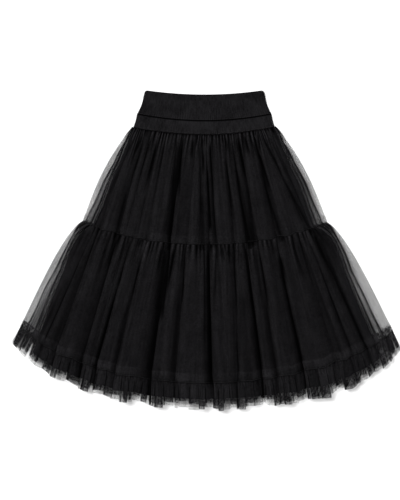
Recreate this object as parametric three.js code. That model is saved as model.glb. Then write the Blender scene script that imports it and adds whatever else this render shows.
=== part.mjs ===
// A tiered tulle skirt lying flat on its back with the front up. Millimetres: +X to the right as it lies,
// +Y from hem to waist, +Z up from the surface. The front and the back are separate panels, and each lies on the
// one below it: back tulle, back lining, front lining, front tulle.
import * as THREE from "three";

// Thickness of the cloth, measured upright, so that the side of a steep fold keeps at least half of it.
const tulleWall = 2;
const liningWall = 1.6;
const yokeWall = 2.2;
const waistbandWall = 3;

// Room left at a seam, between the front tulle and the lining under it, and between two tiers of tulle where one
// laps over the other on the front or the back.
const seamGap = 0.3;
const layerGap = 0.8;
const lapGap = 1.8;
const backLap = 1.3;

// Where a point lies down the skirt is given by the seams that it lies between: 2.5 is halfway from 2 to 3.
const waistEdge = 0;
const bandSeam = 1;
const gatherSeam = 2;
const tierSeam = 3;
const hemSeam = 4;
const ruffleEdge = 5;

// The outline, a row for each seam and edge. drop is how far its middle lies below the waist edge. half is how far
// its left and right ends are from the centre line, rise how far they lie above its middle, and late the share of
// that rise that comes near the ends. bulge is how far the side below it stands out from a straight line to the
// next row, most near its top where early is under 1.
const outline = [
  { drop: 0, half: [151, 148], rise: [11, 11], late: [0, 0], bulge: -4, early: 1.2 },
  { drop: 66, half: [170, 166], rise: [17, 17], late: [0, 0], bulge: -1, early: 1 },
  { drop: 101, half: [179, 174], rise: [19, 21], late: [0, 0], bulge: 17.5, early: 0.55 },
  { drop: 375, half: [305, 305], rise: [59, 55], late: [0.1, 0.1], bulge: 17, early: 0.55 },
  { drop: 720, half: [462, 470], rise: [139, 128], late: [0.2, 0.24], bulge: 0, early: 1 },
  { drop: 785, half: [484, 489], rise: [165, 149], late: [0.27, 0.52], bulge: 0, early: 1 },
];
const cornerRadius = 8;

// Heights down the skirt, a row for each section: the main folds of the front, the ridges inside the back, and the
// lining's half width as a share of the tulle's.
const sections = [
  { at: 2, fold: 0, backRidge: 0, liningShare: 0.985 },
  { at: 2.08, fold: 2.5, backRidge: 2.5, liningShare: 0.965 },
  { at: 2.3, fold: 7, backRidge: 4, liningShare: 0.91 },
  { at: 2.65, fold: 10, backRidge: 4, liningShare: 0.9 },
  { at: 3, fold: 10, backRidge: 4, liningShare: 0.91 },
  { at: 3.25, fold: 14, backRidge: 4, liningShare: 0.92 },
  { at: 3.6, fold: 16, backRidge: 4, liningShare: 0.91 },
  { at: 4, fold: 16, backRidge: 4, liningShare: 0.9 },
  { at: 5, fold: 13, backRidge: 5, liningShare: 0.9 },
];
// Where the linings are shaped, down to their hems inside the ruffle. The front one follows the main folds, a
// little lower than the tulle over it.
const liningHem = 4.6;
const frontLiningStations = [2, 2.08, 2.3, 2.65, 2.93, 3, 3.06, 3.25, 3.6, 3.94, 4, liningHem];
const backLiningStations = [2, 2.08, 2.3, 3, 3.25, 4, liningHem];
const liningFoldShare = 0.9;

// How far the flat of the tulle reaches past the lining's edge, as a share of half the width.
const liningCover = 0.005;

// The troughs between the main folds of the front, from left to right. gathers, tiers and hem are where a trough
// crosses those seams, from -1 at the left side to 1 at the right, and it runs straight from one to the next.
// upper and lower are its depth in the two tiers, as a share of the folds beside it, and crest is the height of
// the fold on its right.
const leftFold = { upper: 0.5, lower: 0.6, crest: 0.6 };
const troughs = [
  { gathers: -0.972, tiers: -0.892, hem: -0.873, upper: 0, lower: 0.5, crest: 0.65 },
  { gathers: -0.955, tiers: -0.855, hem: -0.803, upper: 0.7, lower: 0.7, crest: 0.85 },
  { gathers: -0.834, tiers: -0.691, hem: -0.658, upper: 1, lower: 1, crest: 0.6 },
  { gathers: -0.736, tiers: -0.651, hem: -0.62, upper: 0.4, lower: 0, crest: 0.65 },
  { gathers: -0.632, tiers: -0.59, hem: -0.582, upper: 0.5, lower: 0.9, crest: 0.8 },
  { gathers: -0.536, tiers: -0.468, hem: -0.482, upper: 0.4, lower: 0.7, crest: 1 },
  { gathers: -0.285, tiers: -0.276, hem: -0.287, upper: 1, lower: 1, crest: 0.8 },
  { gathers: -0.092, tiers: -0.143, hem: -0.159, upper: 0.4, lower: 0.6, crest: 1 },
  { gathers: -0.01, tiers: -0.045, hem: -0.055, upper: 0.5, lower: 0, crest: 1 },
  { gathers: 0.028, tiers: 0.048, hem: 0.047, upper: 0.9, lower: 1, crest: 1 },
  { gathers: 0.078, tiers: 0.105, hem: 0.112, upper: 0.6, lower: 0, crest: 1 },
  { gathers: 0.27, tiers: 0.25, hem: 0.175, upper: 0.6, lower: 0.5, crest: 0.8 },
  { gathers: 0.374, tiers: 0.346, hem: 0.307, upper: 0.9, lower: 1, crest: 0.7 },
  { gathers: 0.5, tiers: 0.437, hem: 0.388, upper: 0.7, lower: 0.5, crest: 0.9 },
  { gathers: 0.71, tiers: 0.591, hem: 0.528, upper: 0.8, lower: 0.9, crest: 1 },
  { gathers: 0.79, tiers: 0.75, hem: 0.699, upper: 0, lower: 0.4, crest: 0.8 },
  { gathers: 0.85, tiers: 0.828, hem: 0.783, upper: 1, lower: 0.4, crest: 0.6 },
  { gathers: 0.923, tiers: 0.88, hem: 0.862, upper: 0.5, lower: 0.8, crest: 0.6 },
];
const rightFold = { upper: 0.5, lower: 0.6, crest: 0.6 };

// A trough's depth changes from one tier's to the other's about their seam.
const depthChangeStart = tierSeam - 0.3;
const depthChangeEnd = tierSeam + 0.2;

// The shape across a main fold: it has risen to its crest by riseEnd, sinks by a small share of its fall until
// fallStart, and then falls.
const riseEnd = 0.2;
const fallStart = 0.7;
const sink = 0.2;

// How far a fold turns the seams out of their curve at the side of the skirt, as a share of its width.
const foldTurn = 0.09;

// The panels of tulle. A row is one section: gather is the height of the panel's own gathers, over is how many
// tulle panels of its own side it lies over, and overEdge how many tulle panels in all lie under it at the side of
// the skirt. A panel's first rows, above its seam, are its heading, which lies inside the panel above.
const upperFrontRows = [
  { at: 2, gather: 0.8, over: 0, overEdge: 1 },
  { at: 2.08, gather: 4, over: 0, overEdge: 1 },
  { at: 2.3, gather: 3, over: 0, overEdge: 1 },
  { at: 2.65, gather: 1.6, over: 0, overEdge: 1 },
  { at: 2.93, gather: 0.8, over: 1, overEdge: 3 },
  { at: 3, gather: 0.8, over: 1, overEdge: 3 },
];
const lowerFrontRows = [
  { at: 2.93, gather: 0, over: 0, overEdge: 2 },
  { at: 3, gather: 0.6, over: 0, overEdge: 2 },
  { at: 3.06, gather: 4.2, over: 0, overEdge: 1 },
  { at: 3.25, gather: 2.8, over: 0, overEdge: 1 },
  { at: 3.6, gather: 1.2, over: 0, overEdge: 1 },
  { at: 3.94, gather: 0.6, over: 1, overEdge: 3 },
  { at: 4, gather: 0.6, over: 1, overEdge: 3 },
];
const ruffleFrontRows = [
  { at: 3.94, gather: 0, over: 0, overEdge: 2 },
  { at: 4, gather: 0.6, over: 0, overEdge: 2 },
  { at: 4.15, gather: 5, over: 0, overEdge: 1 },
  { at: 4.6, gather: 6, over: 0, overEdge: 1 },
  { at: 5, gather: 6.5, over: 0, overEdge: 1 },
];
const upperBackRows = [
  { at: 2, gather: 0, over: 0, overEdge: 0 },
  { at: 2.3, gather: 4, over: 0, overEdge: 0 },
  { at: 2.93, gather: 1, over: 0, overEdge: 0 },
  { at: 3, gather: 1, over: 0, overEdge: 0 },
];
const lowerBackRows = [
  { at: 2.93, gather: 0, over: 1, overEdge: 1 },
  { at: 3, gather: 0, over: 1, overEdge: 1 },
  { at: 3.06, gather: 2, over: 0, overEdge: 0 },
  { at: 3.25, gather: 4, over: 0, overEdge: 0 },
  { at: 3.94, gather: 1, over: 0, overEdge: 0 },
  { at: 4, gather: 1, over: 0, overEdge: 0 },
];
const ruffleBackRows = [
  { at: 3.94, gather: 0, over: 1, overEdge: 1 },
  { at: 4, gather: 0, over: 1, overEdge: 1 },
  { at: 4.15, gather: 3, over: 0, overEdge: 0 },
  { at: 5, gather: 5, over: 0, overEdge: 0 },
];

// How wide one gather is. The upper tier's is measured at its foot, the others' where they are sewn on.
const frontPitches = { upper: 20, lower: 19, ruffle: 20.5 };
const backPitches = { upper: 30, lower: 30, ruffle: 31 };

// The shape across one gather. The back's lie flat on the surface between narrow ridges.
const frontGather = [
  { share: 0, height: 0 },
  { share: 0.28, height: 1 },
  { share: 0.7, height: 0.9 },
];
const backGather = [
  { share: 0, height: 0 },
  { share: 0.55, height: 0 },
  { share: 0.78, height: 1 },
];
// The gathers between the lining's edge and the side of the skirt.
const sideGathers = [
  { share: 0, height: 0 },
  { share: 0.2, height: 0.7 },
  { share: 0.4, height: 0 },
  { share: 0.6, height: 0.6 },
  { share: 0.8, height: 0.1 },
  { share: 0.93, height: 0.2 },
  { share: 1, height: 0 },
];

// How much longer a fold of the ruffle hangs than the hollow beside it, where the fold is higher than tabHeight,
// and how uneven the folds are.
const tabHeight = 0.5;
const ruffleTab = 5;
const ruffleUneven = 4;
const gatherUneven = 0.22;

// The undersides of the front bands, in the middle and at the side folds. They rise over the gathers inside them,
// and the back bands lie flat on the surface.
const waistbandFrontRows = [
  { at: 0, base: 3.3, edge: 3.3 },
  { at: 0.5, base: 3.6, edge: 3.3 },
  { at: 1, base: 3.9, edge: 3.3 },
];
const yokeFrontRows = [
  { at: 1, base: 4.2, edge: 3.4 },
  { at: 1.5, base: 4.8, edge: 2.9 },
  { at: 2, base: 6.1, edge: 2.5 },
];
const waistbandBackRows = [0, 0.5, 1].map((at) => ({ at, base: 0, edge: 0 }));
const yokeBackRows = [1, 1.5, 2].map((at) => ({ at, base: 0, edge: 0 }));
const bandSideSteepness = 8;
const bandAcross = [-1, -0.985, -0.95, -0.8, -0.6, -0.4, -0.2, 0, 0.2, 0.4, 0.6, 0.8, 0.95, 0.985, 1];

const clothBlack = 0x1c1c1e;
const knitRoughness = 0.9;
const tulleRoughness = 0.7;
const liningRoughness = 0.95;

function mix(a, b, share) {
  return a + (b - a) * share;
}

// A column of a table, straight between its rows.
function readTable(table, column, at) {
  const next = table.findIndex((row) => row.at >= at);
  if (next < 0) return table[table.length - 1][column];
  if (next === 0) return table[0][column];
  const [low, high] = [table[next - 1], table[next]];
  return mix(low[column], high[column], (at - low.at) / (high.at - low.at));
}

// The row of the outline above a place, and how far the place is from it to the next.
function outlineAt(at) {
  const row = Math.min(Math.floor(at), outline.length - 2);
  return { above: outline[row], below: outline[row + 1], share: at - row };
}

// Half the width of the skirt at a place down it, on the left where side is under 0.
function halfWidth(side, at) {
  const { above, below, share } = outlineAt(at);
  const end = side < 0 ? 0 : 1;
  return mix(above.half[end], below.half[end], share) + above.bulge * Math.sin(Math.PI * share ** above.early);
}

// The place on the surface of a point across, from -1 to 1, and down the skirt.
function placeOf(across, at) {
  const { above, below, share } = outlineAt(at);
  const end = across < 0 ? 0 : 1;
  const rise = mix(above.rise[end], below.rise[end], share);
  const late = mix(above.late[end], below.late[end], share);
  const curve = (1 - late) * across ** 2 + late * across ** 6;
  return { x: across * halfWidth(across, at), y: rise * curve - mix(above.drop, below.drop, share) };
}

// 1 over the lining, falling in a quarter round to 0 at the side of the skirt.
function sideRound(across, at) {
  const start = readTable(sections, "liningShare", at) + liningCover;
  const past = Math.max(0, Math.abs(across) - start) / (1 - start);
  return Math.sqrt(Math.max(0, 1 - past * past));
}

// Where a trough lies across the skirt, and how high its bottom is.
function troughAcross(trough, at) {
  if (at >= hemSeam) return trough.hem;
  const [seam, from, to] = at < tierSeam
    ? [gatherSeam, trough.gathers, trough.tiers]
    : [tierSeam, trough.tiers, trough.hem];
  const straight = mix(from * halfWidth(from, seam), to * halfWidth(to, seam + 1), at - seam);
  return straight / halfWidth(straight, at);
}

// The height of a trough's bottom, as a share of the main folds' height.
function troughHeight(trough, lowerCrest, at) {
  const lowerShare = THREE.MathUtils.smoothstep(at, depthChangeStart, depthChangeEnd);
  const depth = mix(trough.upper, trough.lower, lowerShare);
  return (1 - depth) * lowerCrest;
}

// The main folds, each between two troughs or a trough and the lining's edge.
function mainFolds() {
  const liningEdge = (side) => (at) => side * readTable(sections, "liningShare", at);
  const bounds = [liningEdge(-1), ...troughs.map((trough) => (at) => troughAcross(trough, at)), liningEdge(1)];
  const ends = [leftFold, ...troughs, rightFold];
  return bounds.slice(0, -1).map((left, i) => {
    const crest = ends[i].crest;
    const lowerCrest = (neighbour) => Math.min(crest, (ends[neighbour] ?? ends[i]).crest);
    const height = (share, at) => {
      const leftTrough = troughHeight(ends[i], lowerCrest(i - 1), at);
      const rightTrough = troughHeight(ends[i + 1], lowerCrest(i + 1), at);
      const shoulder = mix(crest, rightTrough, sink);
      if (share < riseEnd) return mix(leftTrough, crest, share / riseEnd);
      if (share < fallStart) return mix(crest, shoulder, (share - riseEnd) / (fallStart - riseEnd));
      return mix(shoulder, rightTrough, (share - fallStart) / (1 - fallStart));
    };
    return { left, right: bounds[i + 1], height };
  });
}

function foldWidth(fold, at) {
  return placeOf(fold.right(at), at).x - placeOf(fold.left(at), at).x;
}

// One line of points down a panel. across gives where it lies, fold and gather how high it stands on them, turn
// how far the fold moves it along the skirt, and tab how much longer the ruffle is there.
function foldColumn(fold, share, gather, tab) {
  const slant = share < fallStart ? 1 - (2 * share) / fallStart : (2 * (share - fallStart)) / (1 - fallStart) - 1;
  return {
    across: (at) => mix(fold.left(at), fold.right(at), share),
    fold: (at) => fold.height(share, at),
    turn: (at) => foldTurn * foldWidth(fold, at) * slant,
    gather,
    tab,
  };
}

// A line of points between the lining's edge, beside a fold, and the side of the skirt.
function sideColumn(side, fold, share, gather, tab) {
  return {
    across: (at) => side * mix(readTable(sections, "liningShare", at), 1, share),
    fold: (at) => (1 - share) * fold.height(side < 0 ? 0 : 1, at),
    turn: (at) => foldTurn * foldWidth(fold, at) * (1 - share),
    gather,
    tab,
  };
}

// An uneven number from -1 to 1 for each column.
function unevenness(index) {
  return Math.sin(index * 2.4) * 0.6 + Math.sin(index * 5.1 + 1) * 0.4;
}

// The gathers across one main fold. The columns nearest to the fold's creases are moved onto them, so that every
// cloth creases along the same lines.
function gatherShares(gathers, gatherShape) {
  const shares = [];
  for (let i = 0; i < gathers; i++) {
    for (const { share, height } of gatherShape) shares.push({ share: (i + share) / gathers, height });
  }
  for (const crease of [riseEnd, fallStart]) {
    const offCrease = (column) => Math.abs(column.share - crease);
    shares.reduce((near, column) => (offCrease(column) < offCrease(near) ? column : near)).share = crease;
  }
  return shares;
}

// Every column of a tulle panel, from left to right, with a gather about every pitch.
function panelColumns(gatherShape, pitch, seam) {
  const columns = [];
  const tabOf = (height) => (height > tabHeight ? ruffleTab + ruffleUneven * unevenness(columns.length) : 0);
  for (const { share, height } of [...sideGathers].reverse()) {
    if (share > 0) columns.push(sideColumn(-1, folds[0], share, height, tabOf(height)));
  }
  for (const fold of folds) {
    const gathers = Math.max(1, Math.round(foldWidth(fold, seam) / pitch));
    for (const { share, height } of gatherShares(gathers, gatherShape)) {
      const uneven = height * (1 - gatherUneven * (1 + unevenness(columns.length)) * 0.5);
      columns.push(foldColumn(fold, share, uneven, tabOf(height)));
    }
  }
  for (const { share, height } of sideGathers) {
    columns.push(sideColumn(1, folds.at(-1), share, height, tabOf(height)));
  }
  return columns;
}

// The height of the back cloth's ridges, and of the undersides of the cloths that lie on them.
const backTop = (at) => tulleWall + readTable(sections, "backRidge", at);
const liningBackBase = (at) => backTop(at) + seamGap;
const liningFrontBase = (at) => liningBackBase(at) + liningWall + seamGap;
const tulleFrontBase = (at) => liningFrontBase(at) + liningWall + layerGap;

// The underside of a panel at a column and a row of its table.
function frontUnderside(column, row) {
  const { at, gather, over, overEdge } = row;
  const heightOfFolds = readTable(sections, "fold", at) * column.fold(at) + gather * column.gather;
  const middle = tulleFrontBase(at) + over * (tulleWall + lapGap) + heightOfFolds;
  return mix(overEdge * (tulleWall + seamGap), middle, sideRound(column.across(at), at));
}

function backUnderside(column, row) {
  const { at, gather, over, overEdge } = row;
  const middle = over * (tulleWall + backLap) + gather * column.gather;
  return mix(overEdge * (tulleWall + seamGap), middle, sideRound(column.across(at), at));
}

// A point of a panel: its fold turns it along the skirt, and the ruffle's tabs lengthen it.
function panelPoint(column, at, height) {
  const across = column.across(at);
  const { x, y } = placeOf(across, at);
  const turned = across * column.turn(at) * THREE.MathUtils.clamp(at - gatherSeam, 0, 1);
  const tab = column.tab * THREE.MathUtils.clamp(at - hemSeam, 0, 1);
  return new THREE.Vector3(x, y + turned - tab, height);
}

// A closed wall of cloth between a lower and an upper grid of points, each grid[row][column], with row 0 at the
// waist end and column 0 at the left.
function clothWall(lower, upper) {
  const rows = lower.length;
  const columns = lower[0].length;
  const points = [...lower.flat(), ...upper.flat()];
  const low = (r, c) => r * columns + c;
  const high = (r, c) => rows * columns + low(r, c);
  const index = [];
  const quad = (a, b, c, d) => index.push(a, b, c, a, c, d);
  for (let r = 0; r + 1 < rows; r++) {
    for (let c = 0; c + 1 < columns; c++) {
      quad(high(r, c), high(r + 1, c), high(r + 1, c + 1), high(r, c + 1));
      quad(low(r, c), low(r, c + 1), low(r + 1, c + 1), low(r + 1, c));
    }
    quad(high(r, 0), low(r, 0), low(r + 1, 0), high(r + 1, 0));
    quad(high(r + 1, columns - 1), low(r + 1, columns - 1), low(r, columns - 1), high(r, columns - 1));
  }
  for (let c = 0; c + 1 < columns; c++) {
    quad(high(0, c + 1), low(0, c + 1), low(0, c), high(0, c));
    quad(high(rows - 1, c), low(rows - 1, c), low(rows - 1, c + 1), high(rows - 1, c + 1));
  }
  return new THREE.BufferGeometry().setFromPoints(points).setIndex(index);
}

// Keeps a row of a grid clear of its seam. A seam that slopes at the sides needs more than half its gap from each
// of its pieces.
const seamClearance = 0.7 * seamGap;

function clearOfSeam(row, sign) {
  row.forEach((point) => {
    point.y += sign * seamClearance;
  });
}

function clothMesh(name, grid, wall, roughness) {
  const upper = grid.map((row) => row.map((point) => point.clone().setZ(point.z + wall)));
  const material = new THREE.MeshStandardMaterial({ color: clothBlack, roughness, metalness: 0 });
  const mesh = new THREE.Mesh(clothWall(grid, upper), material);
  mesh.name = name;
  return mesh;
}

function bandGrid(rows) {
  const cornerStart = 1 - cornerRadius / outline[0].half[0];
  return rows.map(({ at, base, edge }) =>
    bandAcross.map((across) => {
      const { x, y } = placeOf(across, at);
      const past = Math.max(0, Math.abs(across) - cornerStart) / (1 - cornerStart);
      const corner = at === waistEdge ? cornerRadius * (1 - Math.sqrt(1 - past * past)) : 0;
      return new THREE.Vector3(x, y - corner, mix(base, edge, Math.abs(across) ** bandSideSteepness));
    }),
  );
}

function waistband(name, rows) {
  const grid = bandGrid(rows);
  clearOfSeam(grid.at(-1), 1);
  return clothMesh(name, grid, waistbandWall, knitRoughness);
}

function yoke(name, rows) {
  const grid = bandGrid(rows);
  clearOfSeam(grid.at(0), -1);
  clearOfSeam(grid.at(-1), 1);
  return clothMesh(name, grid, yokeWall, knitRoughness);
}

function tullePanel(name, rows, columns, underside) {
  const grid = rows.map((row) => columns.map((column) => panelPoint(column, row.at, underside(column, row))));
  if (rows[0].at === gatherSeam) clearOfSeam(grid.at(0), -1);
  return clothMesh(name, grid, tulleWall, tulleRoughness);
}

function liningPanel(name, stations, columns, underside) {
  const grid = stations.map((at) => columns.map((column) => panelPoint(column, at, underside(column, at))));
  clearOfSeam(grid.at(0), -1);
  return clothMesh(name, grid, liningWall, liningRoughness);
}

function frontLining() {
  const columns = folds.flatMap((fold) => [0, riseEnd, fallStart].map((share) => foldColumn(fold, share, 0, 0)));
  columns.push(foldColumn(folds.at(-1), 1, 0, 0));
  const foldHeight = (column, at) => liningFoldShare * readTable(sections, "fold", at) * column.fold(at);
  return liningPanel("lining_front", frontLiningStations, columns, (column, at) =>
    liningFrontBase(at) + foldHeight(column, at));
}

function backLining() {
  const columns = folds.map((fold) => foldColumn(fold, 0, 0, 0));
  columns.push(foldColumn(folds.at(-1), 1, 0, 0));
  return liningPanel("lining_back", backLiningStations, columns, (column, at) => liningBackBase(at));
}

const folds = mainFolds();
const frontColumns = (pitch, seam) => panelColumns(frontGather, pitch, seam);
const backColumns = (pitch, seam) => panelColumns(backGather, pitch, seam);

const skirt = new THREE.Group();
skirt.add(waistband("waistband_front", waistbandFrontRows));
skirt.add(waistband("waistband_back", waistbandBackRows));
skirt.add(yoke("yoke_front", yokeFrontRows));
skirt.add(yoke("yoke_back", yokeBackRows));
skirt.add(
  tullePanel("upper_tier_front", upperFrontRows, frontColumns(frontPitches.upper, tierSeam), frontUnderside),
  tullePanel("lower_tier_front", lowerFrontRows, frontColumns(frontPitches.lower, tierSeam), frontUnderside),
  tullePanel("hem_ruffle_front", ruffleFrontRows, frontColumns(frontPitches.ruffle, hemSeam), frontUnderside),
  tullePanel("upper_tier_back", upperBackRows, backColumns(backPitches.upper, tierSeam), backUnderside),
  tullePanel("lower_tier_back", lowerBackRows, backColumns(backPitches.lower, tierSeam), backUnderside),
  tullePanel("hem_ruffle_back", ruffleBackRows, backColumns(backPitches.ruffle, hemSeam), backUnderside),
);
skirt.add(frontLining());
skirt.add(backLining());

// The skirt is moved so that its origin is on the surface, under the middle of its box.
const box = new THREE.Box3().setFromObject(skirt);
const middle = box.getCenter(new THREE.Vector3());
skirt.children.forEach((mesh) => mesh.position.set(-middle.x, -middle.y, -box.min.z));

export default skirt;
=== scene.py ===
# A tiered tulle skirt laid flat on its back, dressed on the frame of its solids. Metres, in the row's own frame:
# +X to the right, +Y from hem to waist, +Z up. Tables are in millimetres.
import bmesh
import bpy
import math
import numpy as np
from mathutils import Matrix, Vector


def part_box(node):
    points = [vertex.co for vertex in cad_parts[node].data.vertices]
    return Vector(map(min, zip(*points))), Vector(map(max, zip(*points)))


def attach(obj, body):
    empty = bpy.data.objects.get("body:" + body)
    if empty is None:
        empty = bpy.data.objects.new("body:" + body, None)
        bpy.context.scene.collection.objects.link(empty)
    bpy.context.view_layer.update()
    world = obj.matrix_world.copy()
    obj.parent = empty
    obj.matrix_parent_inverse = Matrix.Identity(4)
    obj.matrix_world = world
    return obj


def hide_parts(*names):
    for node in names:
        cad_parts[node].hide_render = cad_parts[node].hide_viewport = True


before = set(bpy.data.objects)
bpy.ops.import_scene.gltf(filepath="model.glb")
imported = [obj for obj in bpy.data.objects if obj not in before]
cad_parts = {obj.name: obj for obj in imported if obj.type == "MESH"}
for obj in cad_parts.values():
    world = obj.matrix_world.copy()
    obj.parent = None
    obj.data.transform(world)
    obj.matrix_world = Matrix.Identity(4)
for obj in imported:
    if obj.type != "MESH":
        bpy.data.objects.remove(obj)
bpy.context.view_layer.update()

MM = 0.001

# A place down the skirt is given by the seams it lies between: 2.5 is halfway from the gathers to the tier seam.
WAIST_EDGE, BAND_SEAM, GATHER_SEAM, TIER_SEAM, HEM_SEAM, RUFFLE_EDGE = range(6)

# The outline at each seam: how far it lies below the waist, half the width on the left and right of the centre
# line, how far the ends rise above the middle, the share of that rise that comes near the ends, and how far the
# side below it bulges.
OUTLINE = [
    {"drop": 0, "half": (151, 148), "rise": (11, 11), "late": (0, 0), "bulge": -4, "early": 1.2},
    {"drop": 66, "half": (170, 166), "rise": (17, 17), "late": (0, 0), "bulge": -1, "early": 1},
    {"drop": 101, "half": (179, 174), "rise": (19, 21), "late": (0, 0), "bulge": 16.5, "early": 0.8},
    {"drop": 375, "half": (305, 305), "rise": (59, 55), "late": (0.1, 0.1), "bulge": 17, "early": 0.55},
    {"drop": 720, "half": (462, 470), "rise": (139, 128), "late": (0.2, 0.24), "bulge": 0, "early": 1},
    {"drop": 785, "half": (484, 489), "rise": (165, 149), "late": (0.27, 0.52), "bulge": 0, "early": 1},
]

# Down the skirt: the height of the main folds, and how high the linings are held by the gathers under them. The
# veil is how far the lining ends short of the left and the right side, and pale is how much of that is a single
# layer at the front. Between the two the net lies in so many layers.
SECTIONS = [
    {"at": 2.0, "fold": 0, "ridge": 0, "veil": (2, 2), "pale": (1, 1), "net": 9},
    {"at": 2.08, "fold": 2.5, "ridge": 2.5, "veil": (8, 9), "pale": (5, 5.5), "net": 8.5},
    {"at": 2.15, "fold": 4, "ridge": 3, "veil": (14, 16), "pale": (9.5, 10.5), "net": 7},
    {"at": 2.35, "fold": 7.2, "ridge": 4, "veil": (25, 26.5), "pale": (14, 14), "net": 4.2},
    {"at": 2.6, "fold": 9, "ridge": 4, "veil": (30, 29.5), "pale": (13, 13.5), "net": 3.6},
    {"at": 2.8, "fold": 9.8, "ridge": 4, "veil": (31, 32.5), "pale": (10.5, 13.5), "net": 2.9},
    {"at": 2.97, "fold": 10, "ridge": 4, "veil": (28.5, 33.5), "pale": (7, 12), "net": 2.3},
    {"at": 3.02, "fold": 10.5, "ridge": 4, "veil": (23, 27), "pale": (3, 4), "net": 9},
    {"at": 3.12, "fold": 12.5, "ridge": 4, "veil": (19, 22), "pale": (8, 9.5), "net": 3.4},
    {"at": 3.25, "fold": 14.5, "ridge": 4, "veil": (23.5, 29), "pale": (13, 15), "net": 2.6},
    {"at": 3.4, "fold": 15.5, "ridge": 4, "veil": (31, 37), "pale": (13.6, 21), "net": 2.4},
    {"at": 3.6, "fold": 16, "ridge": 4, "veil": (35, 41.5), "pale": (12.5, 22), "net": 2.1},
    {"at": 4.0, "fold": 16, "ridge": 4, "veil": (44, 45), "pale": (12.5, 22), "net": 1.9},
    {"at": 5.0, "fold": 13, "ridge": 5, "veil": (46, 47), "pale": (13, 22), "net": 3.5},
]

# The troughs between the main folds: where each crosses the gathers, the tier seam and the hem seam, its depth in
# the two tiers, and the height of the fold on its right.
SIDE_END = {"upper": 0.5, "lower": 0.6, "crest": 0.6}
TROUGHS = [
    {"gathers": -0.972, "tiers": -0.892, "hem": -0.873, "upper": 0, "lower": 0.5, "crest": 0.65},
    {"gathers": -0.955, "tiers": -0.855, "hem": -0.803, "upper": 0.7, "lower": 0.7, "crest": 0.85},
    {"gathers": -0.834, "tiers": -0.691, "hem": -0.658, "upper": 1, "lower": 1, "crest": 0.6},
    {"gathers": -0.736, "tiers": -0.651, "hem": -0.62, "upper": 0.4, "lower": 0, "crest": 0.65},
    {"gathers": -0.632, "tiers": -0.59, "hem": -0.582, "upper": 0.5, "lower": 0.9, "crest": 0.8},
    {"gathers": -0.536, "tiers": -0.468, "hem": -0.482, "upper": 0.4, "lower": 0.7, "crest": 1},
    {"gathers": -0.285, "tiers": -0.276, "hem": -0.287, "upper": 1, "lower": 1, "crest": 0.8},
    {"gathers": -0.092, "tiers": -0.143, "hem": -0.159, "upper": 0.4, "lower": 0.6, "crest": 1},
    {"gathers": -0.01, "tiers": -0.045, "hem": -0.055, "upper": 0.5, "lower": 0, "crest": 1},
    {"gathers": 0.028, "tiers": 0.048, "hem": 0.047, "upper": 0.9, "lower": 1, "crest": 1},
    {"gathers": 0.078, "tiers": 0.105, "hem": 0.112, "upper": 0.6, "lower": 0, "crest": 1},
    {"gathers": 0.27, "tiers": 0.25, "hem": 0.175, "upper": 0.6, "lower": 0.5, "crest": 0.8},
    {"gathers": 0.374, "tiers": 0.346, "hem": 0.307, "upper": 0.9, "lower": 1, "crest": 0.7},
    {"gathers": 0.5, "tiers": 0.437, "hem": 0.388, "upper": 0.7, "lower": 0.5, "crest": 0.9},
    {"gathers": 0.71, "tiers": 0.591, "hem": 0.528, "upper": 0.8, "lower": 0.9, "crest": 1},
    {"gathers": 0.79, "tiers": 0.75, "hem": 0.699, "upper": 0, "lower": 0.4, "crest": 0.8},
    {"gathers": 0.85, "tiers": 0.828, "hem": 0.783, "upper": 1, "lower": 0.4, "crest": 0.6},
    {"gathers": 0.923, "tiers": 0.88, "hem": 0.862, "upper": 0.5, "lower": 0.8, "crest": 0.6},
]
FOLD_ENDS = [SIDE_END, *TROUGHS, SIDE_END]

# A main fold rises steeply on its left, over RISE_WIDTH, and rolls off more and more to the right. Its crest leans
# to the left over the trough beside it.
RISE_WIDTH = 11
ROLL_OFF = 3.2
LEAN = 0.75
SEAM_TURN = 0.09
TURN_START = 0.7

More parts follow.
